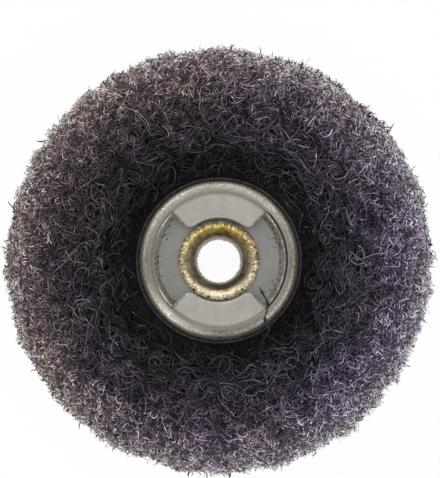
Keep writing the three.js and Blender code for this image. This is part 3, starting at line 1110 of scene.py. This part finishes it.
def edge_hairs(count, points):
    """Cut ends that stand out of the pad all round its edge."""
    root, buried = -0.15, 0.2
    along = chance.uniform(BOWL + 0.5, UNDER - 0.5, count)
    angle = chance.uniform(0, math.tau, count)
    heading = chance.uniform(0, math.tau, count)
    turn = chance.normal(0, 1.4, count)
    climb = chance.uniform(0.25, 0.95, count)
    reach = chance.uniform(0.20, 0.80, count)
    curl = chance.uniform(-0.02, 0.42, count)
    paths = np.empty((count, points, 3))
    height = np.full(count, root)
    step = (reach + buried) / (points - 1)
    for i in range(points):
        paths[:, i] = on_skin(along, angle, height)
        across = np.sqrt(np.maximum(1 - climb ** 2, 0.02))
        along = along + np.cos(heading) * across * step
        angle = angle + np.sin(heading) * across * step / FLEECE_RADIUS
        height = height + climb * step
        heading = heading + turn
        climb = np.clip(climb - curl, -0.6, 1)
    return paths


HAIRS, HAIR_POINTS = 4100, 5
hairs = edge_hairs(HAIRS, HAIR_POINTS)
hair_thickness = varied(0.034, 0.7, 1.2, hairs)
hair_tints = fibre_tints(hairs, np.zeros(HAIRS))
tips = np.where(chance.uniform(0, 1, HAIRS) < 0.4, 0.16, 1.1)  # two in five end in dark grain
hair_tints[:, HAIR_POINTS // 2:, :3] *= tips[:, None, None]
add_fibres("edge_hairs", hairs, hair_thickness, hair_tints)


def grain_stubs(count, points):
    """Short ends caked with dark grain, thickest where the edge is most worn."""
    worn = chance.uniform(0, 1, count)
    angle = chance.uniform(0, math.tau, count)
    angle = np.where(worn < 0.30, np.radians(chance.normal(55, 9, count)), angle)
    angle = np.where(worn > 0.72, np.radians(chance.uniform(165, 235, count)), angle)
    along = chance.uniform(EDGE - 2.0, EDGE + 0.9, count)
    heading = chance.uniform(0, math.tau, count)
    paths = np.empty((count, points, 3))
    for i in range(points):
        paths[:, i] = on_skin(along, angle, -0.05 + i * chance.uniform(0.06, 0.13, count))
        along = along + 0.06 * np.cos(heading)
        angle = angle + 0.06 * np.sin(heading) / FLEECE_RADIUS
    thickness = chance.uniform(0.035, 0.080, (count, 1)) * np.ones((1, points))
    tint = np.ones((count, points, 4))
    tint[..., :3] = np.array([0.020, 0.018, 0.019]) * chance.uniform(0.5, 3.0, (count, 1, 1))
    return paths, thickness, tint


add_fibres("grain_stubs", *grain_stubs(240, 4))


def stray_fibre(points):
    """One grain-laden fibre that leans out of the bowl over the cap's rim and ends over the cup."""
    knots = np.array([
        (3.25, -6.10, 7.55), (2.95, -5.45, 8.05), (2.63, -4.86, 8.62), (2.80, -4.45, 8.90),
        (3.01, -4.11, 8.93), (2.88, -3.82, 8.86), (2.70, -3.54, 8.80), (2.74, -3.30, 8.78),
        (2.83, -3.06, 8.80), (2.88, -2.84, 8.84), (2.91, -2.62, 8.84), (2.80, -2.34, 8.80),
        (2.63, -2.08, 8.72), (2.50, -1.80, 8.62), (2.36, -1.57, 8.52),
    ])
    clumps = [  # of grain: knot, size, spread in knots
        (4.2, 0.06, 0.5), (6.2, 0.11, 0.45), (7.6, 0.08, 0.4),
        (10.0, 0.05, 0.35), (12.4, 0.05, 0.3),
    ]
    at = np.linspace(0, len(knots) - 1, points)
    path = np.stack([np.interp(at, np.arange(len(knots)), knots[:, i]) for i in range(3)], axis=-1)
    path[1:-1] = (path[:-2] + 2 * path[1:-1] + path[2:]) / 4
    path += chance.normal(0, 0.012, path.shape)
    thickness = 0.040 + 0.055 * chance.uniform(0, 1, points) ** 3
    for knot, size, spread in clumps:
        clump = size * np.exp(-((at - knot) / spread) ** 2)
        thickness += clump * chance.uniform(0.55, 1.25, points)
    tint = np.ones((1, points, 4))
    tint[0, :, :3] = np.array([0.010, 0.008, 0.0075]) * chance.uniform(0.4, 1.8, (points, 1))
    return path[None], thickness[None], tint


add_fibres("stray_fibre", *stray_fibre(44))
bpy.data.objects.remove(SECTION)


# Floor, light and camera

WORLD_LEVEL = 0.90  # what the world lights the disc with; as a background it is 1
FLOOR_SHARE = 0.96  # of plain white that the floor shows; the rest keeps the shadow
FLOOR_HALF = 0.6
CAMERA_LEAN = math.radians(1.4)
CAMERA_REACH = 282.8  # mm
CAMERA_AIM = Vector((0.065, 1.225, RIM_Z)) * MM
LAMP_AIM = Vector((0, 0, 0.005))


def background_rays(tree):
    """1 for rays that show the background, straight or through metal and glass."""
    path = add_node("ShaderNodeLightPath", tree=tree).outputs
    seen = maths("MAXIMUM", path["Is Camera Ray"], path["Is Glossy Ray"])
    return maths("MAXIMUM", seen, path["Is Transmission Ray"])


def floor_material():
    material, tree, shader = new_material("pale_floor")
    tree.nodes.remove(shader)
    pale = add_node("ShaderNodeBsdfDiffuse", tree=tree, Color=(0.82, 0.82, 0.82)).outputs[0]
    shown = add_node("ShaderNodeEmission", tree=tree, Color=(1, 1, 1), Strength=1.0).outputs[0]
    share = times(background_rays(tree), FLOOR_SHARE)
    mixed = add_node("ShaderNodeMixShader", i0=share, i1=pale, i2=shown).outputs[0]
    put(tree.nodes["Material Output"].inputs["Surface"], mixed)
    return material


def build_floor():
    bm = bmesh.new()
    bmesh.ops.create_grid(bm, x_segments=1, y_segments=1, size=FLOOR_HALF)
    mesh = smooth_mesh("floor", bm)
    mesh.materials.append(floor_material())
    floor = add_object("floor", mesh)


def build_world():
    world = bpy.data.worlds.new("studio")
    bpy.context.scene.world = world
    world.use_nodes = True
    tree = world.node_tree
    background = tree.nodes["Background"].inputs
    background["Color"].default_value = (1, 1, 1, 1)
    extra = times(background_rays(tree), 1 - WORLD_LEVEL)
    put(background["Strength"], plus(WORLD_LEVEL, extra))


def add_lamp(name, place, size, watts):
    light = bpy.data.lights.new(name, "AREA")
    light.shape = "DISK"
    light.size = size
    light.energy = watts
    lamp = add_object(name, light)
    lamp.location = place
    lamp.rotation_euler = (LAMP_AIM - Vector(place)).to_track_quat("-Z", "Y").to_euler()


def build_camera():
    camera = bpy.data.cameras.new("camera")
    camera.lens = 360
    camera.sensor_width = 36
    camera.clip_start, camera.clip_end = 0.01, 10
    holder = add_object("camera", camera)
    back = Vector((0, -math.sin(CAMERA_LEAN), math.cos(CAMERA_LEAN)))
    holder.location = CAMERA_AIM + back * CAMERA_REACH * MM
    holder.rotation_euler = (CAMERA_LEAN, 0, 0)
    bpy.context.scene.camera = holder


build_floor()
build_world()
add_lamp("softbox_high", (-0.17, 0.20, 0.24), 0.38, 0.50)
add_lamp("softbox_low", (0.19, -0.20, 0.22), 0.38, 0.42)
build_camera()
bpy.context.scene.view_settings.view_transform = "Standard"
